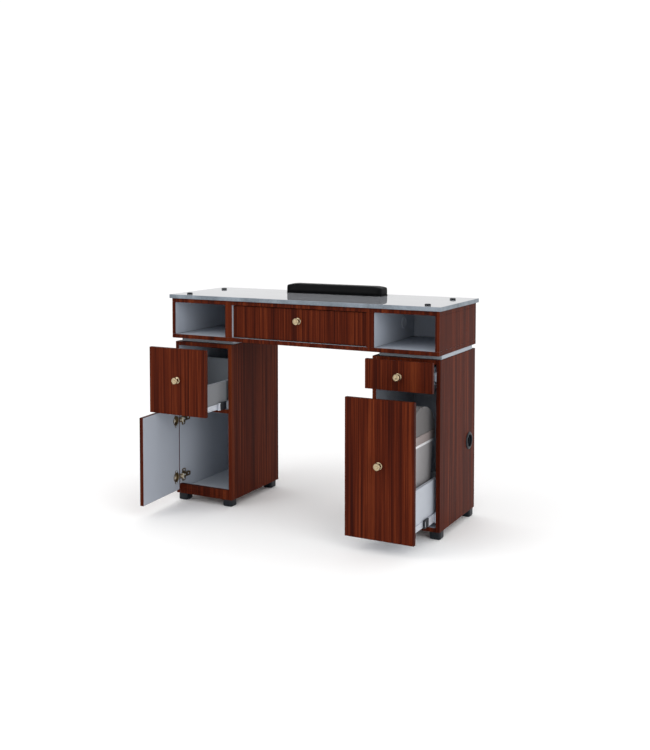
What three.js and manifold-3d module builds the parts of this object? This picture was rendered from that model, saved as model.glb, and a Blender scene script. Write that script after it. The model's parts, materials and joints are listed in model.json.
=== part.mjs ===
import * as THREE from 'three';
import { mergeVertices } from 'three/addons/utils/BufferGeometryUtils.js';
import Module from 'manifold-3d';

// Manicure table with two pedestals. Millimetres, +Z up, the user sits at -Y.
// Inside the group y = 0 is the front face of the upper cabinet, x = 0 its middle, z = 0 the floor.

const wasm = await Module();
wasm.setup();

// Overall sizes
const tableWidth = 1094;
const tableDepth = 380;
const tableHeight = 791;
const originBehindFront = 70;

// Worktop slab
const slabThickness = 15;
const slabOverhangSide = 8;
const slabOverhangFront = 8;
const slabOverhangRear = 10;
const slabChamfer = 1.5;

// Boards and clearances
const board = 15;
const boardChamfer = 0.6;
const backThickness = 5;
const backInset = 3;
const fit = 0.3;

// Upper cabinet
const cabinetHeight = 150;
const nicheWidth = 222;
const dividerThickness = 30;
const cableHoleRadius = 19;
const cableHoleFromRear = 107;

// Spacers between the upper cabinet and the pedestals
const spacerHeight = 15;
const spacerInset = 18;
const spacerRearInset = 28;
const spacerEdgeInset = 2;

// Pedestals
const pedestalWidth = 250;
const pedestalSideInset = 2;
const footHeight = 28;
const footSize = 40;
const footCorner = 9;
const footChamfer = 2;
const footInsetInner = 8;
const footInsetOuter = 2;
const footInsetFront = 9;
const footInsetRear = 3;
const leftRailHeight = 21;

// Drawer fronts and door
const frontThickness = 15;
const frontGap = 3;
const frontReveal = 2.5;
const frontTopReveal = 1;
const leftFrontHeight = 242;
const smallFrontHeight = 102;
const doorSplit = 5;
const drawerSplit = 3;
const shelfLap = 0.5;
const doorAboveFloor = 42;
const bigFrontAboveFloor = 46;
const centreFrontSetback = 8;

// Drawer boxes and slides
const boxWall = 12;
const boxFloor = 6;
const boxRearClearance = 19;
const slideGap = 13;
const slideAboveBoxEdge = 10.5;
const slideShorter = 20;
const slideSetback = 20;
const slideMiddleThickness = 6;
const slideMiddleHeight = 27;
const slideSideGap = 2.5;
const leftBoxAboveShelf = 8;
const bigBoxAboveFrontEdge = 20;
const centreBoxClearance = 30;
const smallBoxClearance = 26;
const leftBoxHeight = 154.5;
const leftBoxNearDrop = 56.5;
const bigBoxHeight = 137;

// How far each drawer stands open, and how many degrees the door is turned from closed
const leftOpen = 149;
const smallOpen = 48;
const bigOpen = 200;
const middleShare = 0.5;
const doorTurn = 86;

// Door hinges
const doorPivotInset = 6;
const doorKnobFromEdge = 45;
const hingeCupRadius = 17.5;
const hingeCupDepth = 11.5;
const hingeCupFlange = 20;
const hingeCupFlangeThickness = 1.2;
const hingeCupWall = 2;
const hingeCupFromEdge = 22.5;
const hingeCupFromEnd = 52;
const hingeArmLength = 52;
const hingeArmSetback = 6;
const hingeArmThickness = 9;
const hingeArmWidth = 16;
const hingeArmChamfer = 1.5;

// Round knobs
const knobRadius = 12;
const knobReach = 23;
const knobRosette = 4;
const knobNeckRadius = 4.5;
const knobDisc = 8;
const knobEdge = 2;
const doorKnobReach = 21.25;
const bigKnobAboveMiddle = 15;
const centreKnobAboveMiddle = 14;
const leftKnobAboveMiddle = 6;
const smallKnobAboveMiddle = -3;

// Cable port in the right pedestal
const portOuterRadius = 31;
const portHoleRadius = 25;
const portFlange = 4;
const portSleeveWall = 3;
const portEdge = 1.5;
const portFromRear = 60;
const portHeight = 285;

// Armrest cushion on the client's side
const cushionLength = 400;
const cushionDepth = 72;
const cushionHeight = 32;
const cushionFromRear = 42;
const cushionOffset = 8;
const cushionCorner = 20;
const cushionRound = 6;

// Waste bin with a swing-top lid
const binSideGap = 2;
const binEndRoom = 76;
const binTopClearance = 62.4;
const binForward = 2;
const binTaper = 0.88;
const binWall = 2.4;
const binCorner = 26;
const lidCollar = 28;
const lidRise = 92;
const lidWall = 2.6;
const flapHalf = 60;
const flapGap = 2.6;
const flapPinRadius = 2.5;
const flapPinClearance = 0.5;
const flapPinDrop = 4;
const flapInset = 0.6;
const flapThickness = 2.4;
const arcSteps = 24;
const overcut = 1;

// Places worked out from the sizes
const cabinetWidth = tableWidth - 2 * slabOverhangSide;
const cabinetDepth = tableDepth - slabOverhangFront - slabOverhangRear;
const cabinetTop = tableHeight - slabThickness;
const cabinetBottom = cabinetTop - cabinetHeight;
const pedestalTop = cabinetBottom - spacerHeight;
const pedestalFront = frontThickness + frontGap;
const pedestalOuter = cabinetWidth / 2 - pedestalSideInset;
const pedestalInner = pedestalOuter - pedestalWidth;
const sideHalf = cabinetWidth / 2 - board;
const dividerOuter = sideHalf - nicheWidth;
const dividerInner = dividerOuter - dividerThickness;
const backFront = cabinetDepth - backInset - backThickness;
const backRear = cabinetDepth - backInset;
const nicheFloor = cabinetBottom + board;
const nicheCeiling = cabinetTop - board;
const baseTop = footHeight + board;
const frontLow = pedestalInner + frontReveal;
const frontHigh = pedestalOuter - frontReveal;
const topFrontEdge = pedestalTop - frontTopReveal;
const leftFrontBottom = topFrontEdge - leftFrontHeight;
const smallFrontBottom = topFrontEdge - smallFrontHeight;
const bigFrontTop = smallFrontBottom - drawerSplit;
const shelfTop = leftFrontBottom + shelfLap;
const doorTop = leftFrontBottom - doorSplit;
const slabRear = cabinetDepth + slabOverhangRear;
const doorPivotX = -frontHigh + doorPivotInset;
const doorPivotY = frontThickness / 2;
const boxLow = pedestalInner + board + slideGap;
const boxHigh = pedestalOuter - board - slideGap;
const boxLength = backFront - frontThickness - boxRearClearance;
const slideLength = boxLength - slideShorter;
const leftBoxBottom = shelfTop + leftBoxAboveShelf;
const bigBoxBottom = bigFrontAboveFloor + bigBoxAboveFrontEdge;
const smallOpeningHeight = pedestalTop - board - smallFrontBottom;
const smallBoxHeight = smallOpeningHeight - smallBoxClearance;
const smallBoxBottom = smallFrontBottom + smallBoxClearance / 2;
const binWidth = boxHigh - boxLow - 2 * boxWall - 2 * binSideGap;
const binDepth = boxLength - 2 * boxWall - binEndRoom;
const binBottom = bigBoxBottom + boxFloor + fit;
const binRimHeight = smallBoxBottom - binTopClearance - lidRise - lidCollar - fit - binBottom;

const finishes = {
  slab: { color: 0xcfd0d2, roughness: 0.18, metalness: 0 },
  laminate: { color: 0x5e2a20, roughness: 0.4, metalness: 0 },
  lining: { color: 0x9a9da3, roughness: 0.6, metalness: 0 },
  spacer: { color: 0xc4c6ca, roughness: 0.5, metalness: 0 },
  steel: { color: 0xb9bcc2, roughness: 0.3, metalness: 1 },
  brass: { color: 0xb89a6c, roughness: 0.28, metalness: 1 },
  blackPlastic: { color: 0x14181c, roughness: 0.45, metalness: 0 },
  binPlastic: { color: 0xb4b4b8, roughness: 0.4, metalness: 0 },
  leather: { color: 0x101012, roughness: 0.5, metalness: 0 },
};
const materials = {};
for (const [name, finish] of Object.entries(finishes)) {
  materials[name] = new THREE.MeshStandardMaterial(finish);
}

const table = new THREE.Group();
const noTurn = [0, 0, 0];

function addMesh(name, finish, geometry, place, turn = noTurn, parent = table) {
  const mesh = new THREE.Mesh(geometry, materials[finish]);
  mesh.name = name;
  mesh.position.set(...place);
  mesh.rotation.set(...turn);
  parent.add(mesh);
  return mesh;
}

// Joining and cutting
function toSolid(geometry) {
  const bare = geometry.clone();
  bare.deleteAttribute('normal');
  bare.deleteAttribute('uv');
  const merged = mergeVertices(bare, 1e-4);
  const mesh = new wasm.Mesh({
    numProp: 3,
    vertProperties: new Float32Array(merged.attributes.position.array),
    triVerts: new Uint32Array(merged.index.array),
  });
  return new wasm.Manifold(mesh);
}

function toGeometry(solid) {
  const mesh = solid.getMesh();
  const geometry = new THREE.BufferGeometry();
  geometry.setAttribute('position', new THREE.BufferAttribute(new Float32Array(mesh.vertProperties), 3));
  geometry.setIndex(new THREE.BufferAttribute(new Uint32Array(mesh.triVerts), 1));
  geometry.computeVertexNormals();
  return geometry;
}

function cut(geometry, ...tools) {
  let solid = toSolid(geometry);
  for (const tool of tools) {
    solid = solid.subtract(toSolid(tool));
  }
  return toGeometry(solid);
}

function join(geometry, ...others) {
  let solid = toSolid(geometry);
  for (const other of others) {
    solid = solid.add(toSolid(other));
  }
  return toGeometry(solid);
}

// Shapes
function roundedOutline(width, depth, radius, steps) {
  const shape = new THREE.Shape();
  const corners = [[1, 1, 0], [-1, 1, 0.5], [-1, -1, 1], [1, -1, 1.5]];
  const points = [];
  for (const [sx, sy, start] of corners) {
    for (let i = 0; i <= steps; i += 1) {
      const angle = (start + (0.5 * i) / steps) * Math.PI;
      const x = sx * (width / 2 - radius) + radius * Math.cos(angle);
      const y = sy * (depth / 2 - radius) + radius * Math.sin(angle);
      points.push(new THREE.Vector2(x, y));
    }
  }
  shape.setFromPoints(points);
  return shape;
}

function chamferedBlock(size, chamfer) {
  const outline = roundedOutline(size.x, size.y, chamfer, 1);
  const geometry = new THREE.ExtrudeGeometry(outline, {
    depth: size.z - 2 * chamfer,
    bevelEnabled: true,
    bevelThickness: chamfer,
    bevelSize: chamfer * 0.7,
    bevelOffset: -chamfer * 0.7,
    bevelSegments: 1,
  });
  geometry.translate(0, 0, chamfer - size.z / 2);
  return geometry;
}

// A board between two corners, drawn back by half a fit on every side
function boardBetween(low, high, chamfer = boardChamfer) {
  const size = new THREE.Vector3(high[0] - low[0] - fit, high[1] - low[1] - fit, high[2] - low[2] - fit);
  return chamferedBlock(size, chamfer);
}

function middleOf(low, high) {
  return low.map((value, axis) => (value + high[axis]) / 2);
}

function addBoard(name, finish, low, high, chamfer = boardChamfer) {
  return addMesh(name, finish, boardBetween(low, high, chamfer), middleOf(low, high));
}

function plainBlock(low, high) {
  const box = new THREE.BoxGeometry(high[0] - low[0], high[1] - low[1], high[2] - low[2]);
  box.translate(...middleOf(low, high));
  return box;
}

// A cylinder along one axis, centred on a point
function rod(axis, radius, length, centre, segments = 32) {
  const geometry = new THREE.CylinderGeometry(radius, radius, length, segments);
  if (axis === 'x') {
    geometry.rotateZ(Math.PI / 2);
  }
  if (axis === 'z') {
    geometry.rotateX(Math.PI / 2);
  }
  geometry.translate(...centre);
  return geometry;
}

function mirrorX(side, low, high) {
  if (side > 0) {
    return [low, high];
  }
  return [[-high[0], low[1], low[2]], [-low[0], high[1], high[2]]];
}

// Worktop
function buildSlab() {
  const low = [-tableWidth / 2, -slabOverhangFront, cabinetTop];
  const high = [tableWidth / 2, slabRear, tableHeight];
  addBoard('top_slab', 'slab', low, high, slabChamfer);
}

function buildCushion() {
  const round = cushionRound;
  const outline = roundedOutline(cushionLength, cushionDepth, cushionCorner, 4);
  const geometry = new THREE.ExtrudeGeometry(outline, {
    depth: cushionHeight - 2 * round,
    bevelEnabled: true,
    bevelThickness: round,
    bevelSize: round,
    bevelOffset: -round,
    bevelSegments: 3,
  });
  const y = slabRear - cushionFromRear - cushionDepth / 2;
  addMesh('armrest_cushion', 'leather', geometry, [cushionOffset, y, tableHeight + fit / 2 + round]);
}

// Upper cabinet
function buildCabinet() {
  const half = cabinetWidth / 2;
  addBoard('cabinet_top_panel', 'laminate', [-half, 0, nicheCeiling], [half, cabinetDepth, cabinetTop]);
  addBoard('cabinet_bottom_panel', 'laminate', [-half, 0, cabinetBottom], [half, cabinetDepth, nicheFloor]);
  for (const [side, label] of [[-1, 'left'], [1, 'right']]) {
    const panel = mirrorX(side, [sideHalf, 0, nicheFloor], [half, cabinetDepth, nicheCeiling]);
    addBoard(`cabinet_${label}_side`, 'laminate', ...panel);
    const divider = mirrorX(side, [dividerInner, 0, nicheFloor], [dividerOuter, backFront, nicheCeiling]);
    const mesh = addBoard(`cabinet_${label}_divider`, 'laminate', ...divider);
    if (side > 0) {
      const holeY = cabinetDepth - cableHoleFromRear - backFront / 2;
      const length = dividerThickness + 2 * overcut;
      mesh.geometry = cut(mesh.geometry, rod('x', cableHoleRadius, length, [0, holeY, 0]));
    }
  }
  const backLow = [-sideHalf, backFront, nicheFloor];
  const backHigh = [sideHalf, backRear, nicheCeiling];
  addBoard('cabinet_back_panel', 'lining', backLow, backHigh);
}

function buildSpacers() {
  for (const [side, label] of [[-1, 'left'], [1, 'right']]) {
    const from = side < 0 ? -pedestalOuter : pedestalInner;
    const low = [from + spacerInset, pedestalFront + spacerInset, pedestalTop];
    const high = [from + pedestalWidth - spacerEdgeInset, cabinetDepth - spacerRearInset, cabinetBottom];
    addBoard(`${label}_spacer`, 'spacer', low, high);
  }
}

// Pedestal carcasses
function buildCarcass(side, label) {
  const front = pedestalFront;
  const rear = cabinetDepth;
  const insideLow = pedestalInner + board;
  const insideHigh = pedestalOuter - board;
  const outer = mirrorX(side, [insideHigh, front, footHeight], [pedestalOuter, rear, pedestalTop]);
  const inner = mirrorX(side, [pedestalInner, front, footHeight], [insideLow, rear, pedestalTop]);
  const top = mirrorX(side, [insideLow, front, pedestalTop - board], [insideHigh, rear, pedestalTop]);
  const base = mirrorX(side, [insideLow, front, footHeight], [insideHigh, rear, baseTop]);
  const back = mirrorX(side, [insideLow, backFront, baseTop], [insideHigh, backRear, pedestalTop - board]);
  const outerMesh = addBoard(`${label}_pedestal_outer_side`, 'laminate', ...outer);
  addBoard(`${label}_pedestal_inner_side`, 'laminate', ...inner);
  addBoard(`${label}_pedestal_top`, 'laminate', ...top);
  addBoard(`${label}_pedestal_base`, 'laminate', ...base);
  addBoard(`${label}_pedestal_back`, 'lining', ...back);
  return outerMesh;
}

function buildLeftExtras() {
  const low = -pedestalOuter + board;
  const high = -pedestalInner - board;
  const front = pedestalFront;
  addBoard('left_pedestal_shelf', 'laminate', [low, front, shelfTop - board], [high, backFront, shelfTop]);
  const railTop = baseTop + leftRailHeight;
  addBoard('left_pedestal_rail', 'laminate', [low, front, baseTop], [high, front + board, railTop]);
}

function buildCablePort(panel) {
  const place = panel.position;
  const y = cabinetDepth - portFromRear;
  const hole = rod('x', portHoleRadius, board + 2 * overcut, [0, y - place.y, portHeight - place.z]);
  panel.geometry = cut(panel.geometry, hole);
  const sleeve = portHoleRadius - fit;
  const bore = sleeve - portSleeveWall;
  const outline = [
    [bore, -board],
    [sleeve, -board],
    [sleeve, fit],
    [portOuterRadius, fit],
    [portOuterRadius, portFlange - portEdge],
    [portOuterRadius - portEdge, portFlange],
    [bore + portEdge, portFlange],
    [bore, portFlange - portEdge],
    [bore, -board],
  ].map(([x, z]) => new THREE.Vector2(x, z));
  const ring = new THREE.LatheGeometry(outline, 32);
  ring.rotateZ(-Math.PI / 2);
  addMesh('cable_port_ring', 'blackPlastic', ring, [pedestalOuter, y, portHeight]);
}

function buildFeet() {
  const chamfer = footChamfer;
  const outline = roundedOutline(footSize, footSize, footCorner, 3);
  const shape = {
    depth: footHeight - fit - 2 * chamfer,
    bevelEnabled: true,
    bevelThickness: chamfer,
    bevelSize: chamfer,
    bevelOffset: -chamfer,
    bevelSegments: 1,
  };
  const near = pedestalInner + footInsetInner + footSize / 2;
  const far = pedestalOuter - footInsetOuter - footSize / 2;
  const rows = [
    ['front', pedestalFront + footInsetFront + footSize / 2],
    ['rear', cabinetDepth - footInsetRear - footSize / 2],
  ];
  for (const [side, label] of [[-1, 'left'], [1, 'right']]) {
    for (const [place, x] of [['inner', near], ['outer', far]]) {
      for (const [row, y] of rows) {
        const foot = new THREE.ExtrudeGeometry(outline, shape);
        addMesh(`${label}_${place}_${row}_foot`, 'blackPlastic', foot, [side * x, y, chamfer]);
      }
    }
  }
}

// Drawers
function openTray(low, high, ...cuts) {
  const outer = plainBlock(low, high);
  const inner = plainBlock(
    [low[0] + boxWall, low[1] + boxWall, low[2] + boxFloor],
    [high[0] - boxWall, high[1] - boxWall, high[2] + overcut],
  );
  return cut(outer, inner, ...cuts);
}

// A flat rosette against the panel, a narrow neck and a thick disc
function knobGeometry(reach) {
  const outline = [
    [0, 0],
    [knobRadius, 0],
    [knobRadius, knobRosette - knobEdge],
    [knobRadius - knobEdge, knobRosette],
    [knobNeckRadius, knobRosette + knobEdge],
    [knobNeckRadius, reach - knobDisc - knobEdge],
    [knobRadius - knobEdge, reach - knobDisc],
    [knobRadius, reach - knobDisc + knobEdge],
    [knobRadius, reach - knobEdge],
    [knobRadius - knobEdge, reach],
    [0, reach],
  ].map(([x, z]) => new THREE.Vector2(x, z));
  return new THREE.LatheGeometry(outline, arcSteps);
}

// A front panel, its box behind it and a knob near its middle; open moves all three towards the user
function buildDrawer(name, front, box, open, knobAbove, cuts = []) {
  const [frontLowCorner, frontHighCorner] = front;
  const [boxLowCorner, boxHighCorner] = box;
  addBoard(`${name}_front`, 'laminate', ...front.map(([x, y, z]) => [x, y - open, z]));
  const rear = boxLowCorner[1] + boxLength;
  const tray = openTray(
    [boxLowCorner[0], boxLowCorner[1], boxLowCorner[2]],
    [boxHighCorner[0], rear, boxHighCorner[2]],
    ...cuts,
  );
  addMesh(`${name}_box`, 'lining', tray, [0, -open, 0]);
  const middle = middleOf(frontLowCorner, frontHighCorner);
  const face = frontLowCorner[1] - fit / 2 - open;
  const place = [middle[0], face, middle[2] + knobAbove];
  addMesh(`${name}_knob`, 'brass', knobGeometry(knobReach), place, [Math.PI, 0, 0]);
}

function buildSlideMiddles(name, side, boxBottom, open) {
  const z = boxBottom + slideAboveBoxEdge - slideMiddleHeight / 2;
  const y = pedestalFront + slideSetback - open * middleShare;
  const thick = slideMiddleThickness;
  const rows = [
    ['near', boxLow - slideSideGap - thick],
    ['far', boxHigh + slideSideGap],
  ];
  for (const [place, x] of rows) {
    const ends = mirrorX(side, [x, y, z], [x + thick, y + slideLength, z + slideMiddleHeight]);
    addBoard(`${name}_slide_${place}`, 'steel', ...ends, 0.5);
  }
}

function buildDrawers() {
  const boxFront = frontThickness + fit / 2;
  const leftFront = mirrorX(-1, [frontLow, 0, leftFrontBottom], [frontHigh, frontThickness, topFrontEdge]);
  const leftTop = leftBoxBottom + leftBoxHeight;
  const leftBox = mirrorX(-1, [boxLow, boxFront, leftBoxBottom], [boxHigh, boxFront, leftTop]);
  // Its side next to the knees is lower than its other side and its back
  const lowSide = plainBlock(
    [-boxLow - boxWall, boxFront - overcut, leftTop - leftBoxNearDrop],
    [-boxLow + overcut, boxFront + boxLength - boxWall, leftTop + overcut],
  );
  buildDrawer('left_drawer', leftFront, leftBox, leftOpen, leftKnobAboveMiddle, [lowSide]);
  buildSlideMiddles('left_drawer', -1, leftBoxBottom, leftOpen);

  const smallFront = [[frontLow, 0, smallFrontBottom], [frontHigh, frontThickness, topFrontEdge]];
  const smallBoxTop = smallBoxBottom + smallBoxHeight;
  const smallBox = [[boxLow, boxFront, smallBoxBottom], [boxHigh, boxFront, smallBoxTop]];
  buildDrawer('small_drawer', smallFront, smallBox, smallOpen, smallKnobAboveMiddle);

  const bigFront = [[frontLow, 0, bigFrontAboveFloor], [frontHigh, frontThickness, bigFrontTop]];
  const bigTop = bigBoxBottom + bigBoxHeight;
  const bigBox = [[boxLow, boxFront, bigBoxBottom], [boxHigh, boxFront, bigTop]];
  buildDrawer('big_drawer', bigFront, bigBox, bigOpen, bigKnobAboveMiddle);
  buildSlideMiddles('big_drawer', 1, bigBoxBottom, bigOpen);

  const half = dividerInner - frontReveal;
  const centreBack = centreFrontSetback + frontThickness;
  const centreFront = [
    [-half, centreFrontSetback, nicheFloor + frontReveal],
    [half, centreBack, nicheCeiling - frontReveal],
  ];
  const centreHalf = dividerInner - slideGap;
  const centreBox = [
    [-centreHalf, centreBack + fit / 2, nicheFloor + centreBoxClearance / 2],
    [centreHalf, centreBack, nicheCeiling - centreBoxClearance / 2],
  ];
  buildDrawer('centre_drawer', centreFront, centreBox, 0, centreKnobAboveMiddle);
}

// Door, drawn in its closed place about the pivot and then swung open
function buildDoor() {
  const pivot = new THREE.Group();
  pivot.position.set(doorPivotX, doorPivotY, 0);
  pivot.rotation.z = -THREE.MathUtils.degToRad(doorTurn);
  table.add(pivot);
  const low = [-doorPivotInset, -frontThickness / 2, doorAboveFloor];
  const high = [frontHigh - frontLow - doorPivotInset, frontThickness / 2, doorTop];
  const panelMiddle = middleOf(low, high);
  const cupX = hingeCupFromEdge - doorPivotInset;
  const cups = [
    ['upper', doorTop - hingeCupFromEnd],
    ['lower', doorAboveFloor + hingeCupFromEnd],
  ];
  const bores = [];
  for (const cup of cups) {
    const depth = hingeCupDepth + fit;
    const y = (frontThickness - depth + overcut) / 2 - panelMiddle[1];
    const centre = [cupX - panelMiddle[0], y, cup[1] - panelMiddle[2]];
    bores.push(rod('y', hingeCupRadius + fit, depth + overcut, centre, arcSteps));
  }
  addMesh('door_panel', 'laminate', cut(boardBetween(low, high), ...bores), panelMiddle, noTurn, pivot);
  for (const [label, z] of cups) {
    const outline = [
      [0, 0],
      [hingeCupRadius, 0],
      [hingeCupRadius, hingeCupDepth],
      [hingeCupFlange, hingeCupDepth],
      [hingeCupFlange, hingeCupDepth + hingeCupFlangeThickness],
      [hingeCupRadius - hingeCupWall, hingeCupDepth + hingeCupFlangeThickness],
      [hingeCupRadius - hingeCupWall, hingeCupWall],
      [0, hingeCupWall],
    ].map(([x, y]) => new THREE.Vector2(x, y));
    const cup = new THREE.LatheGeometry(outline, arcSteps);
    const cupPlace = [cupX, frontThickness / 2 - hingeCupDepth, z];
    addMesh(`${label}_hinge_cup`, 'brass', cup, cupPlace, noTurn, pivot);
    const armLow = [-pedestalOuter + board, pedestalFront + hingeArmSetback, z - hingeArmWidth / 2];
    const armHigh = [armLow[0] + hingeArmThickness, armLow[1] + hingeArmLength, z + hingeArmWidth / 2];
    addBoard(`${label}_hinge_arm`, 'brass', armLow, armHigh, hingeArmChamfer);
  }
  const knobX = high[0] - doorKnobFromEdge;
  const knobPlace = [knobX, low[1] - fit / 2, panelMiddle[2]];
  addMesh('door_knob', 'brass', knobGeometry(doorKnobReach), knobPlace, [Math.PI, 0, 0], pivot);
}

// Waste bin: a tapered body, a barrel-shaped lid and a flap that swings on two pins
function taperedBody(width, depth, corner, extra) {
  const geometry = new THREE.ExtrudeGeometry(roundedOutline(width, depth, corner, 4), {
    depth: binRimHeight + extra,
    bevelEnabled: false,
  });
  const points = geometry.attributes.position;
  for (let i = 0; i < points.count; i += 1) {
    const share = binTaper + ((1 - binTaper) * points.getZ(i)) / binRimHeight;
    points.setXY(i, points.getX(i) * share, points.getY(i) * share);
  }
  return geometry;
}

// The lid's side outline: an upright collar under half an ellipse
function lidOutline(half, rise, low) {
  const points = [new THREE.Vector2(-half, low), new THREE.Vector2(half, low)];
  for (let i = 0; i <= arcSteps; i += 1) {
    const angle = (Math.PI * i) / arcSteps;
    points.push(new THREE.Vector2(half * Math.cos(angle), lidCollar + rise * Math.sin(angle)));
  }
  const shape = new THREE.Shape();
  shape.setFromPoints(points);
  return shape;
}

function acrossX(shape, width) {
  const geometry = new THREE.ExtrudeGeometry(shape, { depth: width, bevelEnabled: false });
  geometry.rotateX(Math.PI / 2);
  geometry.rotateZ(Math.PI / 2);
  geometry.translate(-width / 2, 0, 0);
  return geometry;
}

function buildBin() {
  const x = (pedestalInner + pedestalOuter) / 2;
  const y = frontThickness - bigOpen + boxLength / 2 - binForward;
  const bin = new THREE.Group();
  bin.position.set(x, y, binBottom);
  table.add(bin);
  const outer = taperedBody(binWidth, binDepth, binCorner, 0);
  const wall = binWall;
  const inner = taperedBody(binWidth - 2 * wall, binDepth - 2 * wall, binCorner - wall, overcut);
  inner.translate(0, 0, wall);
  addMesh('bin_body', 'binPlastic', cut(outer, inner), noTurn, noTurn, bin);

  const lidHalf = binDepth / 2;
  const lid = new THREE.Group();
  lid.position.z = binRimHeight + fit;
  bin.add(lid);
  const shell = acrossX(lidOutline(lidHalf, lidRise, 0), binWidth);
  const hollowOutline = lidOutline(lidHalf - lidWall, lidRise - lidWall, -overcut);
  const hollow = acrossX(hollowOutline, binWidth - 2 * lidWall);
  const insideHalf = binWidth / 2 - lidWall;
  const flapWidth = 2 * (insideHalf - flapGap);
  const lidTop = lidCollar + lidRise + overcut;
  const windowLow = [-insideHalf, -flapHalf - flapGap, lidCollar];
  const windowHigh = [insideHalf, flapHalf + flapGap, lidTop];
  const pinZ = lidCollar + lidRise - flapPinDrop;
  const pinHole = rod('x', flapPinRadius + flapPinClearance, binWidth + 2 * overcut, [0, 0, pinZ], 16);
  const window = plainBlock(windowLow, windowHigh);
  addMesh('bin_lid', 'binPlastic', cut(shell, hollow, window, pinHole), noTurn, noTurn, lid);

  const under = flapInset + flapThickness;
  const flapOuter = acrossX(lidOutline(lidHalf - flapInset, lidRise - flapInset, 0), flapWidth);
  const flapInner = acrossX(lidOutline(lidHalf - under, lidRise - under, -overcut), flapWidth + overcut);
  const limits = plainBlock([-flapWidth, -flapHalf, lidCollar], [flapWidth, flapHalf, lidTop]);
  const plate = toSolid(flapOuter).subtract(toSolid(flapInner)).intersect(toSolid(limits));
  const pins = rod('x', flapPinRadius, binWidth - 2 * flapInset, [0, 0, pinZ], 12);
  addMesh('bin_flap', 'binPlastic', join(toGeometry(plate), pins), noTurn, noTurn, lid);
}

buildSlab();
buildCushion();
buildCabinet();
buildSpacers();
buildCarcass(-1, 'left');
const portPanel = buildCarcass(1, 'right');
buildLeftExtras();
buildCablePort(portPanel);
buildFeet();
buildDrawers();
buildDoor();
buildBin();

// The origin is on the floor, this far behind the front face of the upper cabinet
table.position.y = -originBehindFront;
const root = new THREE.Group();
root.add(table);

export default root;
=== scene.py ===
import json
import math
import bpy
import bmesh
from mathutils import Matrix, Vector


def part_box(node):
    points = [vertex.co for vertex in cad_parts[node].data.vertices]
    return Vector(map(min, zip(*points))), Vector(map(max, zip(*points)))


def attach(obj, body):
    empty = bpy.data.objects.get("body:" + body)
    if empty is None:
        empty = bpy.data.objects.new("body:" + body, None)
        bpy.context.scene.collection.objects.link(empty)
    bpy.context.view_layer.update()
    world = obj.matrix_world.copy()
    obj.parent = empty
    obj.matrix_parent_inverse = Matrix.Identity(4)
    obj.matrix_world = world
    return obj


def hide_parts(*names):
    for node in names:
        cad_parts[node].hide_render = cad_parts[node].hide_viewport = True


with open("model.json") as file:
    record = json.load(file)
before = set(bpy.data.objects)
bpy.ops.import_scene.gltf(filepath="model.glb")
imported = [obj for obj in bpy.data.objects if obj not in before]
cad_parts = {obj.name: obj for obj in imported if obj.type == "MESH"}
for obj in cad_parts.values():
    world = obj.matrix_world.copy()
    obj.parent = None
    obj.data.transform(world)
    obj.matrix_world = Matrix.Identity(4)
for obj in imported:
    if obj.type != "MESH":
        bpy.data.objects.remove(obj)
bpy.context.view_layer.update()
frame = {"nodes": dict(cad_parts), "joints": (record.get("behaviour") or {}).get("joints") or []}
mm = 0.001
up = Vector((0, 0, 1))
left = Vector((-1, 0, 0))
right = Vector((1, 0, 0))
toUser = Vector((0, -1, 0))
toClient = Vector((0, 1, 0))
print("frame loaded:", len(frame["nodes"]), "nodes")


# Selecting and editing
def pickNothing():
    if bpy.context.object and bpy.context.object.mode != "OBJECT":
        bpy.ops.object.mode_set(mode="OBJECT")
    bpy.ops.object.select_all(action="DESELECT")


def pickPiece(piece):
    pickNothing()
    bpy.context.view_layer.objects.active = piece
    piece.select_set(True)


def startEdit(piece, mode="FACE"):
    pickPiece(piece)
    bpy.ops.object.mode_set(mode="EDIT")
    bpy.ops.mesh.select_mode(type=mode)
    bpy.ops.mesh.select_all(action="DESELECT")


def endEdit():
    bpy.ops.object.mode_set(mode="OBJECT")


def pickFaces(piece, test):
    mesh = bmesh.from_edit_mesh(piece.data)
    for face in mesh.faces:
        face.select_set(test(face.calc_center_median(), face.normal))
    bmesh.update_edit_mesh(piece.data)


def pickEdges(piece, test):
    mesh = bmesh.from_edit_mesh(piece.data)
    for edge in mesh.edges:
        first, second = [vert.co for vert in edge.verts]
        edge.select_set(test((first + second) / 2, (second - first).normalized()))
    bmesh.update_edit_mesh(piece.data)


def settle(piece):
    pickPiece(piece)
    bpy.ops.object.transform_apply(location=True, rotation=True, scale=True)


def outwards(piece):
    startEdit(piece)
    bpy.ops.mesh.select_all(action="SELECT")
    bpy.ops.mesh.remove_doubles(threshold=0.000005)
    bpy.ops.mesh.normals_make_consistent(inside=False)
    endEdit()


def applyModifier(piece, kind, **settings):
    pickPiece(piece)
    bpy.ops.object.modifier_add(type=kind)
    modifier = piece.modifiers[-1]
    for key, value in settings.items():
        setattr(modifier, key, value)
    bpy.ops.object.modifier_apply(modifier=modifier.name)


def softEdges(piece, width, segments=2):
    # Eases the corners sharper than 50 degrees
    limits = {"limit_method": "ANGLE", "angle_limit": math.radians(50)}
    applyModifier(piece, "BEVEL", width=width * mm, segments=segments, **limits)


def smooth(piece, angle=35):
    pickPiece(piece)
    bpy.ops.object.shade_smooth_by_angle(angle=math.radians(angle))


def smoothFlat(piece):
    # Keeps the large faces flat and shades only the eased edges round
    smooth(piece, 60)
    applyModifier(piece, "WEIGHTED_NORMAL", keep_sharp=True)


# Starting shapes, in millimetres
def block(name, low, high):
    pickNothing()
    middle = [(a + b) / 2 * mm for a, b in zip(low, high)]
    size = [(b - a) * mm for a, b in zip(low, high)]
    bpy.ops.mesh.primitive_cube_add(size=1, location=middle, scale=size)
    piece = bpy.context.object
    piece.name = name
    settle(piece)
    return piece


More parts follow.
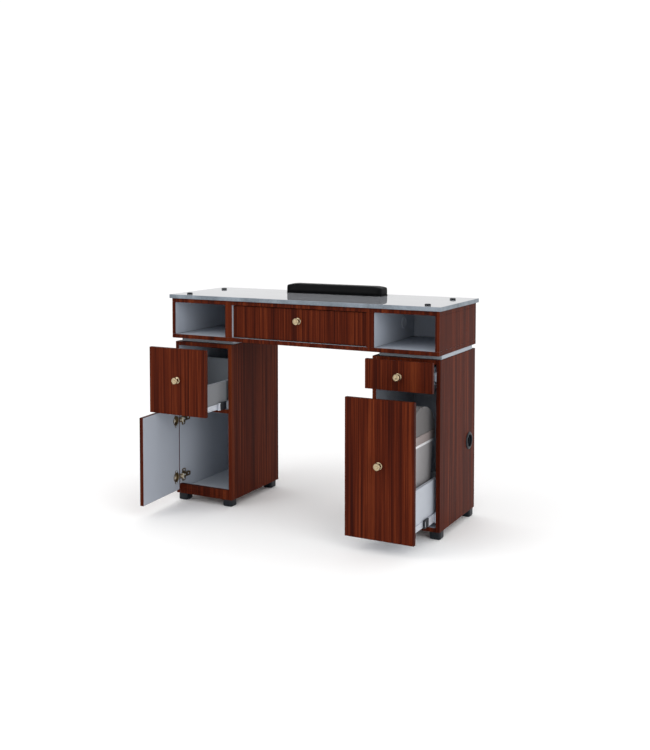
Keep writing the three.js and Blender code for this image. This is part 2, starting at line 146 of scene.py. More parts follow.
def rise(piece, steps, size):
    # Extrudes what is selected from each step to the next; size gives a step's width and depth
    for step, following in zip(steps, steps[1:]):
        lift = (following[-1] - step[-1]) * mm
        (width, depth), (nextWidth, nextDepth) = size(step), size(following)
        growth = (nextWidth / width, nextDepth / depth, 1)
        bpy.ops.mesh.extrude_region_move(TRANSFORM_OT_translate={"value": (0, 0, lift)})
        bpy.ops.transform.resize(value=growth, center_override=(0, 0, following[-1] * mm))
    endEdit()
    outwards(piece)
    return piece


def turned(name, outline, segments=40, ring=False):
    # Drawn up along +Z through (radius, height) steps; a ring comes back to its first step
    pickNothing()
    radius, height = outline[0]
    fill = "NOTHING" if ring else "NGON"
    place = (0, 0, height * mm)
    bpy.ops.mesh.primitive_circle_add(vertices=segments, radius=radius * mm, location=place, fill_type=fill)
    piece = bpy.context.object
    piece.name = name
    settle(piece)
    startEdit(piece, "EDGE" if ring else "FACE")
    bpy.ops.mesh.select_all(action="SELECT")
    steps = list(outline) + ([outline[0]] if ring else [])
    return rise(piece, steps, lambda step: (step[0], step[0]))


def roundedRise(name, corner, outline, ring=False):
    # A rounded rectangle drawn up along +Z through (width, depth, height) steps
    pickNothing()
    width, depth, height = outline[0]
    bpy.ops.mesh.primitive_plane_add(size=1, location=(0, 0, height * mm))
    piece = bpy.context.object
    piece.name = name
    piece.scale = (width * mm, depth * mm, 1)
    settle(piece)
    startEdit(piece, "VERT")
    bpy.ops.mesh.select_all(action="SELECT")
    bpy.ops.mesh.bevel(offset=corner * mm, segments=6, affect="VERTICES")
    if ring:
        bpy.ops.mesh.select_all(action="SELECT")
        bpy.ops.mesh.delete(type="ONLY_FACE")
    bpy.ops.mesh.select_mode(type="EDGE" if ring else "FACE")
    bpy.ops.mesh.select_all(action="SELECT")
    steps = list(outline) + ([outline[0]] if ring else [])
    return rise(piece, steps, lambda step: step[:2])


def rod(name, radius, length, place, towards, segments=24):
    # A round bar with eased ends, centred on its place
    ease = min(0.4, radius / 3)
    half = length / 2
    outline = [(radius - ease, -half), (radius, ease - half), (radius, half - ease), (radius - ease, half)]
    return stand(turned(name, outline, segments), place, towards)


def stand(piece, place, towards=up):
    # Turns a piece's +Z towards a direction and moves its origin to a place given in millimetres
    turn = towards.to_track_quat("Z", "Y").to_matrix().to_4x4()
    shift = Matrix.Translation(Vector(place) * mm)
    piece.matrix_world = shift @ turn
    settle(piece)
    return piece


def copyOf(piece, name, shift=(0, 0, 0)):
    pickPiece(piece)
    bpy.ops.object.duplicate(linked=False)
    twin = bpy.context.object
    twin.name = name
    twin.location = Vector(shift) * mm
    settle(twin)
    return twin


def joined(name, pieces):
    pickPiece(pieces[0])
    for piece in pieces[1:]:
        piece.select_set(True)
    bpy.ops.object.join()
    whole = bpy.context.object
    whole.name = name
    return whole


def cutAway(piece, tool):
    applyModifier(piece, "BOOLEAN", operation="DIFFERENCE", solver="EXACT", object=tool)
    bpy.data.objects.remove(tool)


def softBlock(name, low, high, lift, corner=0, ease=0.5, along=None):
    # A small plate or block raised to a height; the edges along one direction get a wider corner
    raised = [Vector(place) + Vector((0, 0, lift)) for place in (low, high)]
    piece = block(name, *raised)
    if corner:
        startEdit(piece, "EDGE")
        pickEdges(piece, lambda place, line: abs(line.dot(along)) > 0.9)
        bpy.ops.mesh.bevel(offset=corner * mm, segments=5, affect="EDGES")
        endEdit()
    softEdges(piece, ease)
    return piece


def fitOut(piece, body, material, slotName, *replaced):
    piece.data.materials.clear()
    piece.data.materials.append(material)
    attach(piece, body)
    if replaced:
        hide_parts(*replaced)
    return piece


def boxOf(node):
    low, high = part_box(node)
    return Vector(low) / mm, Vector(high) / mm


# Shader values
def plug(tree, socket, value):
    if isinstance(value, Wire):
        tree.links.new(value.socket, socket)
    else:
        socket.default_value = value


class Wire:
    # One value in a shader: an expression on it adds the Math nodes
    def __init__(self, tree, socket):
        self.tree = tree
        self.socket = socket

    def maths(self, operation, first, second):
        node = self.tree.nodes.new("ShaderNodeMath")
        node.operation = operation
        plug(self.tree, node.inputs[0], first)
        plug(self.tree, node.inputs[1], second)
        return Wire(self.tree, node.outputs[0])

    def __add__(self, other):
        return self.maths("ADD", self, other)

    def __radd__(self, other):
        return self.maths("ADD", other, self)

    def __sub__(self, other):
        return self.maths("SUBTRACT", self, other)

    def __rsub__(self, other):
        return self.maths("SUBTRACT", other, self)

    def __mul__(self, other):
        return self.maths("MULTIPLY", self, other)

    def __rmul__(self, other):
        return self.maths("MULTIPLY", other, self)

    def __gt__(self, other):
        return self.maths("GREATER_THAN", self, other)

    def __lt__(self, other):
        return self.maths("LESS_THAN", self, other)


def linear(value):
    # Light from a value on the 0 to 255 display scale
    level = value / 255
    return level / 12.92 if level < 0.04045 else ((level + 0.055) / 1.055) ** 2.4


def paint(red, green, blue):
    return [linear(red), linear(green), linear(blue), 1]


def dimmed(colour, share):
    return [level * share for level in colour[:3]] + [1]


class Finish:
    def __init__(self, name, **constants):
        self.material = bpy.data.materials.new(name)
        self.material.use_nodes = True
        self.tree = self.material.node_tree
        self.surface = self.tree.nodes["Principled BSDF"]
        for socket, value in constants.items():
            self.surface.inputs[socket.replace("_", " ")].default_value = value

    def node(self, kind, settings=None, sockets=None, output=0):
        node = self.tree.nodes.new("ShaderNode" + kind)
        for key, value in (settings or {}).items():
            if key == "stops":
                setStops(node.color_ramp, value)
            else:
                setattr(node, key, value)
        for key, value in (sockets or {}).items():
            plug(self.tree, node.inputs[key], value)
        return Wire(self.tree, node.outputs[output])

    def feed(self, socket, value):
        plug(self.tree, self.surface.inputs[socket], value)

    def place(self):
        return self.node("TexCoord", output="Object")

    def stretched(self, scale):
        return self.node("Mapping", sockets={"Vector": self.place(), "Scale": scale})

    def along(self, axis):
        return self.node("SeparateXYZ", sockets={0: self.place()}, output=axis)

    def noise(self, scale, detail=2, roughness=0.5, distortion=0):
        sockets = {
            "Vector": self.stretched(scale),
            "Scale": 1,
            "Detail": detail,
            "Roughness": roughness,
            "Distortion": distortion,
        }
        return self.node("TexNoise", sockets=sockets)

    def ramp(self, value, stops):
        return self.node("ValToRGB", {"stops": stops}, {"Fac": value})

    def mixed(self, mask, first, second):
        return self.node("Mix", {"data_type": "RGBA"}, {0: mask, 6: first, 7: second}, output=2)

    def facing(self, direction, least=0.9):
        normal = self.node("TexCoord", output="Normal")
        sockets = {0: normal, 1: direction}
        return self.node("VectorMath", {"operation": "DOT_PRODUCT"}, sockets, output="Value") > least

    def bump(self, height, distance, strength=1):
        sockets = {"Height": height, "Distance": distance * mm, "Strength": strength}
        self.feed("Normal", self.node("Bump", sockets=sockets))


def setStops(ramp, stops):
    while len(ramp.elements) < len(stops):
        ramp.elements.new(0.5)
    for element, (position, colour) in zip(ramp.elements, stops):
        element.position = position
        element.color = colour


# Finishes
woodLook = {
    "stops": [
        (0.37, paint(44, 15, 10)),
        (0.46, paint(60, 20, 10)),
        (0.53, paint(78, 29, 14)),
        (0.62, paint(98, 43, 21)),
    ],
    "band": (30, 30, 0.6),
    "streak": (150, 150, 1.5),
    "line": (330, 330, 3),
    "pore": (1100, 1100, 18),
    "poreColour": paint(44, 15, 10),
    "poreShare": 0.4,
    "shares": (0.3, 0.45, 0.25),
    "poreLeast": 0.62,
    "roughness": 0.34,
    "liningRougher": 0.15,
    "liningColour": paint(170, 176, 186),
    # A paler grey: painted light on the lit floor of the lower compartment
    "floorColour": paint(204, 209, 216),
}


def liningLook(finish, colour):
    # Printed melamine: an even grey with a very fine tooth
    tooth = finish.noise((1400, 1400, 1400), detail=1)
    cloud = finish.noise((6, 6, 6), detail=2)
    return finish.mixed(cloud * 0.7 + tooth * 0.3, dimmed(colour, 0.9), colour)


def laminate(name, linedSides, linedBehind=None):
    # Upright grain outside; the lined sides are grey, behind a given depth where one is given, and there
    # the grey is paler as painted light on a lit floor
    finish = Finish(name, IOR=1.09)
    bands = finish.noise(woodLook["band"], detail=2, roughness=0.6, distortion=0.2)
    streaks = finish.noise(woodLook["streak"], detail=2, roughness=0.6, distortion=0.1)
    lines = finish.noise(woodLook["line"], detail=1)
    pores = finish.noise(woodLook["pore"], detail=1)
    wide, narrow, fine = woodLook["shares"]
    colour = finish.ramp(bands * wide + streaks * narrow + lines * fine, woodLook["stops"])
    marks = (pores > woodLook["poreLeast"]) * woodLook["poreShare"]
    colour = finish.mixed(marks, colour, woodLook["poreColour"])
    rough = woodLook["roughness"] + pores * 0.12
    # Painted light: a floor lined behind a given depth takes the paler grey
    lining = woodLook["liningColour" if linedBehind is None else "floorColour"]
    depth = finish.along("Y")
    backFace = boxOf("cabinet_back_panel")[1].y
    for side in linedSides:
        # The edges behind the back panels stay laminate
        mask = finish.facing(side) * (depth < backFace * mm)
        if linedBehind is not None:
            mask = mask * (depth > linedBehind * mm)
        colour = finish.mixed(mask, colour, liningLook(finish, lining))
        rough = rough + mask * woodLook["liningRougher"]
    finish.feed("Base Color", colour)
    finish.feed("Roughness", rough)
    finish.bump(pores, 0.05, 0.25)
    return finish.material


def plainGrey(name, colour, kneeSide=None):
    # Grey board; its faces turned right can take a darker grey, painted shade
    finish = Finish(name, IOR=1.46)
    look = liningLook(finish, colour)
    # Painted shade: the faces turned right take the darker grey
    if kneeSide:
        look = finish.mixed(finish.facing(right), look, liningLook(finish, kneeSide))
    finish.feed("Base Color", look)
    tooth = finish.noise((900, 900, 900), detail=1)
    finish.feed("Roughness", tooth * 0.1 + 0.45)
    finish.bump(tooth, 0.02, 0.3)
    return finish.material


topLook = {
    "topStops": [(0.3, paint(134, 136, 141)), (0.7, paint(158, 160, 164))],
    "edgeStops": [(0.36, paint(84, 92, 100)), (0.64, paint(136, 145, 154))],
    "ease": 1.4,
    "cornerEase": 2.5,
    "capSide": 483,
    "capRows": (-34, 203),
    "cap": [(10.2, 0), (10.6, 0.4), (10.6, 4.2), (9.9, 5), (8.1, 5.4), (7.6, 5), (3, 4.9), (0.4, 4.9)],
}


def stone(name):
    # Polished top with fine grains and soft clouds; the sawn edges are darker and rougher
    finish = Finish(name, IOR=1.28)
    clouds = finish.noise((14, 20, 14), detail=5, roughness=0.62, distortion=0.4)
    grains = finish.noise((420, 420, 420), detail=3, roughness=0.7)
    top = finish.ramp(clouds * 0.55 + grains * 0.45, topLook["topStops"])
    edge = finish.ramp(clouds * 0.5 + grains * 0.5, topLook["edgeStops"])
    upper = finish.facing(up, 0.8)
    finish.feed("Base Color", finish.mixed(upper, edge, top))
    finish.feed("Roughness", 0.34 - upper * 0.32 + grains * 0.02)
    finish.bump(grains, 0.02, 0.08)
    return finish.material


def metal(name, colour, roughness, brushed=(60, 60, 60), metallic=1):
    finish = Finish(name, Metallic=metallic)
    marks = finish.noise(brushed, detail=3, roughness=0.6)
    wear = finish.noise((9, 9, 9), detail=2)
    finish.feed("Base Color", finish.mixed(wear * 0.6 + marks * 0.4, dimmed(colour, 0.78), colour))
    finish.feed("Roughness", marks * 0.14 + (roughness - 0.07))
    finish.bump(marks, 0.02, 0.15)
    return finish.material


def plastic(name, colour, roughness, shine=0.5, paleAbove=None):
    # Fine moulded grain; above a given height it is painted paler, a painted highlight
    finish = Finish(name, IOR=1.48, Specular_IOR_Level=shine)
    grain = finish.noise((700, 700, 700), detail=2)
    cloud = finish.noise((12, 12, 12), detail=2)
    look = finish.mixed(cloud * 0.6 + grain * 0.4, dimmed(colour, 0.88), colour)
    if paleAbove:
        # Painted highlight: paler above the given height
        look = finish.mixed(finish.along("Z") > paleAbove * mm, look, paint(206, 206, 208))
    finish.feed("Base Color", look)
    finish.feed("Roughness", grain * 0.12 + (roughness - 0.06))
    finish.bump(grain, 0.03, 0.2)
    return finish.material


def leather(name):
    finish = Finish(name, IOR=1.14)
    cells = finish.node("TexVoronoi", {"feature": "SMOOTH_F1"}, {"Vector": finish.place(), "Scale": 620})
    creases = finish.noise((70, 70, 70), detail=4, roughness=0.6)
    finish.feed("Base Color", finish.mixed(creases, paint(5, 5, 6), paint(17, 18, 20)))
    finish.feed("Roughness", 0.38 + cells * 0.12 + creases * 0.1)
    finish.bump(cells * 0.6 + creases * 0.4, 0.12, 0.35)
    return finish.material


# The bin's rim is painted paler than its body, a painted highlight
highlightedRim = boxOf("bin_body")[1].z - 9
finishes = {
    "stone": stone("polishedStone"),
    "box": plainGrey("boxLining", paint(172, 177, 185)),
    # Painted shade: the left box is painted darker than the other boxes, and darker still on its faces
    # turned right
    "leftBox": plainGrey("shadedLeftBoxLining", paint(160, 165, 172), kneeSide=paint(122, 125, 129)),
    "spacer": plainGrey("spacerGrey", paint(152, 160, 169)),
    "zinc": metal("zincSteel", paint(206, 211, 219), 0.4, (40, 400, 400), 0.55),
    "brass": metal("champagneBrass", paint(182, 165, 135), 0.2),
    "bronze": metal("bronzePlate", paint(122, 104, 74), 0.38, metallic=0.8),
    "boss": metal("paleBoss", paint(222, 212, 188), 0.35, metallic=0.3),
    "black": plastic("blackPlastic", paint(16, 22, 29), 0.42, shine=0.25),
    # The bin's rim carries a painted highlight
    "bin": plastic("binPlastic", paint(142, 140, 141), 0.36, shine=0.3, paleAbove=highlightedRim),
    "binLid": plastic("binLidPlastic", paint(108, 106, 106), 0.36, shine=0.25),
    "collar": plastic("binCollarPlastic", paint(140, 130, 128), 0.4, shine=0.3),
    "leather": leather("blackLeather"),
    "capGrey": plastic("capGrey", paint(182, 188, 197), 0.4),
}
print("finishes made")

# The door is drawn closed and then swung open about its hinge
doorJoint = [joint for joint in frame["joints"] if joint["name"] == "door_hinge"][0]
doorPivot = Vector(doorJoint["pos_m"])
doorTurn = math.radians(doorJoint["range_deg"][1])
doorInside = Vector((math.sin(doorTurn), math.cos(doorTurn), 0))

# Boards: laminate outside, grey lining on the sides listed here
linedBoards = {
    "cabinet_top_panel": [-up],
    "cabinet_bottom_panel": [up],
    "cabinet_left_side": [right],
    "cabinet_right_side": [left],
    "cabinet_left_divider": [left, right],
    "cabinet_right_divider": [left, right],
    "left_pedestal_outer_side": [right],
    "left_pedestal_inner_side": [left],
    "right_pedestal_outer_side": [left],
    "right_pedestal_inner_side": [right],
    "left_pedestal_top": [-up],
    "right_pedestal_top": [-up],
    "left_pedestal_base": [up],
    "right_pedestal_base": [up],
    "left_pedestal_shelf": [up, -up],
    "left_pedestal_rail": [toClient],
    "cabinet_back_panel": [toUser],
    "left_pedestal_back": [toUser],
    "right_pedestal_back": [toUser],
    "centre_drawer_front": [toClient],
    "left_drawer_front": [toClient],
    "small_drawer_front": [toClient],
    "big_drawer_front": [toClient],
    "door_panel": [doorInside],
}


def face(node, material):
    board = frame["nodes"][node]
    board.data.materials.clear()
    board.data.materials.append(material)


boardFinishes = {}
railBack = boxOf("left_pedestal_rail")[1].y
for node, sides in linedBoards.items():
    key = "".join(f"{round(side.x):+d}{round(side.y):+d}{round(side.z):+d}" for side in sides)
    if node == "left_pedestal_base":
        key += "rail"
    if key not in boardFinishes:
        behind = railBack if node == "left_pedestal_base" else None
        boardFinishes[key] = laminate(f"laminate{len(boardFinishes) + 1}", sides, behind)
    face(node, boardFinishes[key])
for node in ("left_spacer", "right_spacer"):
    face(node, finishes["spacer"])
print("boards faced:", len(linedBoards))


# Stone top and the caps over its fixings
def makeTop():
    low, high = boxOf("top_slab")
    slab = block("stoneTop", low, high)
    startEdit(slab, "EDGE")
    pickEdges(slab, lambda place, line: abs(line.z) > 0.9)
    bpy.ops.mesh.bevel(offset=topLook["cornerEase"] * mm, segments=3, affect="EDGES")
    endEdit()
    softEdges(slab, topLook["ease"], 3)
    smoothFlat(slab)
    fitOut(slab, "carcass", finishes["stone"], "stone_top", "top_slab")
    cap = turned("topCap1", topLook["cap"], 36)
    stand(cap, (-topLook["capSide"], topLook["capRows"][0], high.z))
    smooth(cap, 40)
    width = 2 * topLook["capSide"]
    depth = topLook["capRows"][1] - topLook["capRows"][0]
    shifts = [(width, 0, 0), (0, depth, 0), (width, depth, 0)]
    caps = [cap] + [copyOf(cap, f"topCap{i + 2}", shift) for i, shift in enumerate(shifts)]
    for piece in caps:
        fitOut(piece, "carcass", finishes["black"], "black_plastic")


makeTop()
print("stone top made")


# Armrest cushion: foam on a flat base, puffed by cloth with its base held
cushionLook = {
    "boardInset": 0.6,
    "boardThickness": 3.6,
    "boardCorner": 10,
    "inset": (0.8, 1.6, 0.8),
    "crown": 3,
    "corner": 9,
    "edge": 6,
    "voxel": 4,
    "heldBelow": 4,
    "pressure": 4,
    "mostMove": 6,
    "steps": 20,
    "overlap": 0.8,
    "flatBelow": 1.5,
    "fill": 0.85,
}


def puff(piece, heldBelow):
    before = [vert.co.copy() for vert in piece.data.vertices]
    held = piece.vertex_groups.new(name="base")
    held.add([vert.index for vert in piece.data.vertices if vert.co.z < heldBelow], 1, "REPLACE")
    pickPiece(piece)
    bpy.ops.object.modifier_add(type="CLOTH")
    cloth = piece.modifiers[-1]
    cloth.settings.use_pressure = True
    cloth.settings.uniform_pressure_force = cushionLook["pressure"]
    cloth.settings.effector_weights.gravity = 0
    cloth.settings.vertex_group_mass = "base"
    cloth.point_cache.frame_start = 1
    cloth.point_cache.frame_end = cushionLook["steps"]
    for step in range(1, cushionLook["steps"] + 1):
        bpy.context.scene.frame_set(step)
    bpy.ops.object.modifier_apply(modifier=cloth.name)
    bpy.context.scene.frame_set(1)
    piece.vertex_groups.clear()
    most = cushionLook["mostMove"] * mm
    for vert, place in zip(piece.data.vertices, before):
        move = vert.co - place
        if move.length > most:
            vert.co = place + move.normalized() * most


def makeCushion():
    low, high = boxOf("armrest_cushion")
    # A thin board underneath gives the pad a straight lower edge
    rim = Vector((1, 1, 0)) * cushionLook["boardInset"]
    boardTop = Vector((high.x, high.y, low.z + cushionLook["boardThickness"]))
    board = softBlock("armrestBoard", low + rim, boardTop - rim, 0, cushionLook["boardCorner"], 0.8, up)
    smoothFlat(board)
    fitOut(board, "carcass", finishes["leather"], "cushion_cover", "armrest_cushion")
    low.z = boardTop.z - cushionLook["overlap"]
    inset = Vector(cushionLook["inset"])
    start = low + inset
    start.z = low.z
    pad = block("armrestCushion", start, high - inset)
    startEdit(pad, "EDGE")
    pickEdges(pad, lambda place, line: abs(line.z) > 0.9)
    bpy.ops.mesh.bevel(offset=cushionLook["corner"] * mm, segments=6, affect="EDGES")
    pickEdges(pad, lambda place, line: abs(line.z) < 0.1 and place.z > (high.z - 2 * inset.z) * mm)
    bpy.ops.mesh.bevel(offset=cushionLook["edge"] * mm, segments=4, affect="EDGES")
    endEdit()
    applyModifier(pad, "REMESH", mode="VOXEL", voxel_size=cushionLook["voxel"] * mm)
    puff(pad, (low.z + cushionLook["heldBelow"]) * mm)
    # Kept within its space, but for the crown, and flat underneath
    lowest, highest = low * mm, (high + up * cushionLook["crown"]) * mm
    for vert in pad.data.vertices:
        for axis in range(3):
            vert.co[axis] = min(max(vert.co[axis], lowest[axis]), highest[axis])
        if vert.co.z < lowest.z + cushionLook["flatBelow"] * mm:
            vert.co.z = lowest.z
    applyModifier(pad, "SUBSURF", levels=1, render_levels=1)
    smooth(pad, 60)
    fitOut(pad, "carcass", finishes["leather"], "cushion_cover", "armrest_cushion")


makeCushion()
print("cushion made")


# Drawer boxes
boxLook = {"wall": 12, "floor": 6, "ease": 0.7, "leftNearDrop": 56.5}


def makeDrawerBox(drawer):
    low, high = boxOf(drawer + "_drawer_box")
    piece = block(drawer + "DrawerBox", low, high)
    startEdit(piece)
    pickFaces(piece, lambda place, normal: normal.z > 0.9)
    bpy.ops.mesh.inset(thickness=boxLook["wall"] * mm)
    drop = boxLook["floor"] - (high.z - low.z)
    bpy.ops.mesh.extrude_region_move(TRANSFORM_OT_translate={"value": (0, 0, drop * mm)})
    endEdit()
    if drawer == "left":
        # The side next to the knees is lower
        cutLow = (high.x - boxLook["wall"] - 0.01, low.y - 1, high.z - boxLook["leftNearDrop"])
        cutHigh = (high.x + 1, high.y - boxLook["wall"], high.z + 1)
        cutAway(piece, block("sideTool", cutLow, cutHigh))
    softEdges(piece, boxLook["ease"])
    smoothFlat(piece)
    # The left drawer's box takes the lining with painted shade
    look = finishes["leftBox" if drawer == "left" else "box"]
    fitOut(piece, drawer + "_drawer", look, "grey_lining", drawer + "_drawer_box")


for drawer in ("centre", "left", "small", "big"):
    makeDrawerBox(drawer)
print("drawer boxes made")


def swingOpen(piece):
    # Turns a piece of the closed door about the hinge to where the door stands
    there = Matrix.Translation(doorPivot)
    piece.matrix_world = there @ Matrix.Rotation(-doorTurn, 4, "Z") @ there.inverted()
    settle(piece)


# Knobs
knobLook = {
    "petals": 10,
    "petalRing": 7.6,
    "petal": (1.8, 1.25, 0.8),
    "faceDrop": 1.6,
    "seat": 0.2,
    "base": [(11.9, 0), (12, 1.4), (11.2, 2.1), (10.2, 2.3), (9.6, 3.2), (6.9, 3.9), (5.1, 5), (4.4, 7)],
    "head": [
        (4.4, -11),
        (5.5, -9),
        (9.1, -8),
        (11.2, -7.3),
        (12, -6.2),
        (12, -2.3),
        (11.5, -1.2),
        (10.7, -0.7),
        (10.1, -0.9),
        (9.7, -1.6),
        (5.1, -1.6),
        (4.6, -0.7),
        (2.8, -0.1),
        (1, 0),
        (0.3, 0),
    ],
    "shorter": 2.5,
    "doorReach": 19.5,
    "doorPlace": (-334.5, -70),
}


def makeKnob(name, foot, reach):
    # A base rose, a neck and a disc with a ring of petals, standing out towards the user
    outline = knobLook["base"] + [(radius, reach + step) for radius, step in knobLook["head"]]
    parts = [turned(name, outline, 40)]
    ring = knobLook["petalRing"] * mm
    height = (reach - knobLook["faceDrop"]) * mm
    size = [length * mm for length in knobLook["petal"]]
    for i in range(knobLook["petals"]):
        pickNothing()
        angle = 2 * math.pi * i / knobLook["petals"]
        place = (ring * math.cos(angle), ring * math.sin(angle), height)
        bpy.ops.mesh.primitive_uv_sphere_add(segments=10, ring_count=6, location=place, scale=size)
        petal = bpy.context.object
        petal.rotation_euler.z = angle
        settle(petal)
        parts.append(petal)
    knob = joined(name, parts)
    stand(knob, foot, toUser)
    smooth(knob)
    return knob


for drawer in ("centre", "left", "small", "big"):
    node = drawer + "_drawer_knob"
    low, high = boxOf(node)
    foot = ((low.x + high.x) / 2, high.y + knobLook["seat"], (low.z + high.z) / 2)
    knob = makeKnob(drawer + "Knob", foot, high.y - low.y - knobLook["shorter"])
    fitOut(knob, drawer + "_drawer", finishes["brass"], "knob_brass", node)
low, high = boxOf("door_knob")
knob = makeKnob("doorKnob", (*knobLook["doorPlace"], (low.z + high.z) / 2), knobLook["doorReach"])
swingOpen(knob)
fitOut(knob, "door", finishes["brass"], "knob_brass", "door_knob")
print("knobs made")


# Feet
footLook = {
    "corner": 6,
    "steps": [
        (32, 32, 0), (37, 37, 1), (39.4, 39.4, 3), (40, 40, 7),
        (40, 40, 24.4), (39, 39, 26.6), (36, 36, 27.7),
    ],
}


def makeFeet():
    model = roundedRise("footModel", footLook["corner"], footLook["steps"])
    smooth(model)
    for side in ("left", "right"):
        for place in ("inner", "outer"):
            for row in ("front", "rear"):
                node = f"{side}_{place}_{row}_foot"
                low, high = boxOf(node)
                middle = (low + high) / 2
                foot = copyOf(model, f"{side}{place.title()}{row.title()}Foot", (middle.x, middle.y, 0))
                fitOut(foot, "carcass", finishes["black"], "black_plastic", node)
    bpy.data.objects.remove(model)


makeFeet()
print("feet made")


# Cable port: a flanged ring through the right pedestal's outer side
portLook = {
    "ring": [
        (21.8, -15), (21.8, 2.6), (23, 3.8), (25, 4.2), (28.6, 3.4), (30.6, 1.8), (31, 0.6), (31, 0),
        (24.6, 0), (24.6, -15),
    ],
    "lip": [(21.6, -6), (21.6, -4), (16, -4.4), (15.4, -5), (16, -5.6)],
    "face": 536.9,
    "cap": [
        (18, -4), (18.6, 0.1), (21, 0.1), (21.6, 1.2), (20.6, 3), (18, 3),
        (16.8, 0.9), (3, 0.7), (0.5, 0.7),
    ],
    "capY": 185,
}


def makePort():
    low, high = boxOf("cable_port_ring")
    middle = (low + high) / 2
    ring = turned("cablePortRing", portLook["ring"], 64, ring=True)
    lip = turned("cablePortLip", portLook["lip"], 64, ring=True)
    for piece in (ring, lip):
        stand(piece, (portLook["face"], middle.y, middle.z), right)
        smooth(piece)
    fitOut(ring, "carcass", finishes["black"], "black_plastic", "cable_port_ring")
    fitOut(lip, "carcass", finishes["black"], "black_plastic")


def makeHoleCap():
    # Closes the cable hole between the right niche and the drawer
    low, high = boxOf("cabinet_right_divider")
    cap = turned("cableHoleCap", portLook["cap"], 48)
    stand(cap, (high.x, portLook["capY"], (low.z + high.z) / 2), right)
    smooth(cap)
    fitOut(cap, "carcass", finishes["capGrey"], "grey_lining")


makePort()
makeHoleCap()
print("cable port made")


# Screws: one pan head with a cross recess, copied
screwLook = {
    "head": [(3.6, 0), (3.6, 0.5), (3.1, 1.2), (2, 1.7), (0.6, 1.8)],
    "slotWidth": 0.9,
    "slotLength": 4,
    "slotHeights": (0.9, 3),
}


def makeScrewModel():
    head = turned("screwModel", screwLook["head"], 20)
    half = screwLook["slotLength"] / 2
    thin = screwLook["slotWidth"] / 2
    bottom, top = screwLook["slotHeights"]
    for x, y in ((half, thin), (thin, half)):
        cutAway(head, block("slotTool", (-x, -y, bottom), (x, y, top)))
    smooth(head)
    return head


screwModel = makeScrewModel()


def addScrews(name, places, outward, size=1):
    heads = []
    for place in places:
        head = copyOf(screwModel, name)
        head.scale = (size, size, size)
        settle(head)
        heads.append(stand(head, place, outward))
    return joined(name, heads)


# Drawer slides
slideLook = {
    "lip": 3.2,
    "recess": 1.1,
    "rolledEdge": 0.45,
    "play": 0.05,
    "boxEnds": (2, 8),
    "memberHeight": 20,
    "memberAbove": 0.5,
    "screwStart": 14,
    "screwEvery": 95,
    "screwCount": 4,
    "screwSize": 0.55,
    "stops": {"left": (11.5, 40), "big": (-5, 36)},
    "stopRise": 0.6,
    "stopProud": (0.02, 0.1),
    "stopRim": 5,
    "stopDish": 0.9,
    "stopEase": 0.8,
    "panelGap": 0.2,
    "panelHeight": 35,
    "panelRows": (-48, 252),
}


def channel(name, low, high, openSide):
    # A strip with rolled lips: its open side is inset and pushed in
    piece = block(name, low, high)
    startEdit(piece)
    pickFaces(piece, lambda place, normal: normal.dot(openSide) > 0.9)
    bpy.ops.mesh.inset(thickness=slideLook["lip"] * mm)
    push = openSide * (-slideLook["recess"] * mm)
    bpy.ops.mesh.extrude_region_move(TRANSFORM_OT_translate={"value": push})
    endEdit()
    softEdges(piece, slideLook["rolledEdge"])
    smoothFlat(piece)
    return piece


def makeStop(name, low, high, away, drawer):
    # A black block around the middle member, with a dished outer face
    start, length = slideLook["stops"][drawer]
    inward, outward = slideLook["stopProud"]
    before, behind = (inward, outward) if away.x > 0 else (outward, inward)
    rise = slideLook["stopRise"]
    stopLow = (low.x - before, low.y + start, low.z - rise)
    stopHigh = (high.x + behind, low.y + start + length, high.z + rise)
    stop = block(name, stopLow, stopHigh)
    startEdit(stop)
    pickFaces(stop, lambda place, normal: normal.dot(away) > 0.9)
    bpy.ops.mesh.inset(thickness=slideLook["stopRim"] * mm)
    push = away * (-slideLook["stopDish"] * mm)
    bpy.ops.mesh.extrude_region_move(TRANSFORM_OT_translate={"value": push})
    endEdit()
    softEdges(stop, slideLook["stopEase"], 3)
    smoothFlat(stop)
    fitOut(stop, drawer + "_drawer_slides", finishes["black"], "black_plastic")


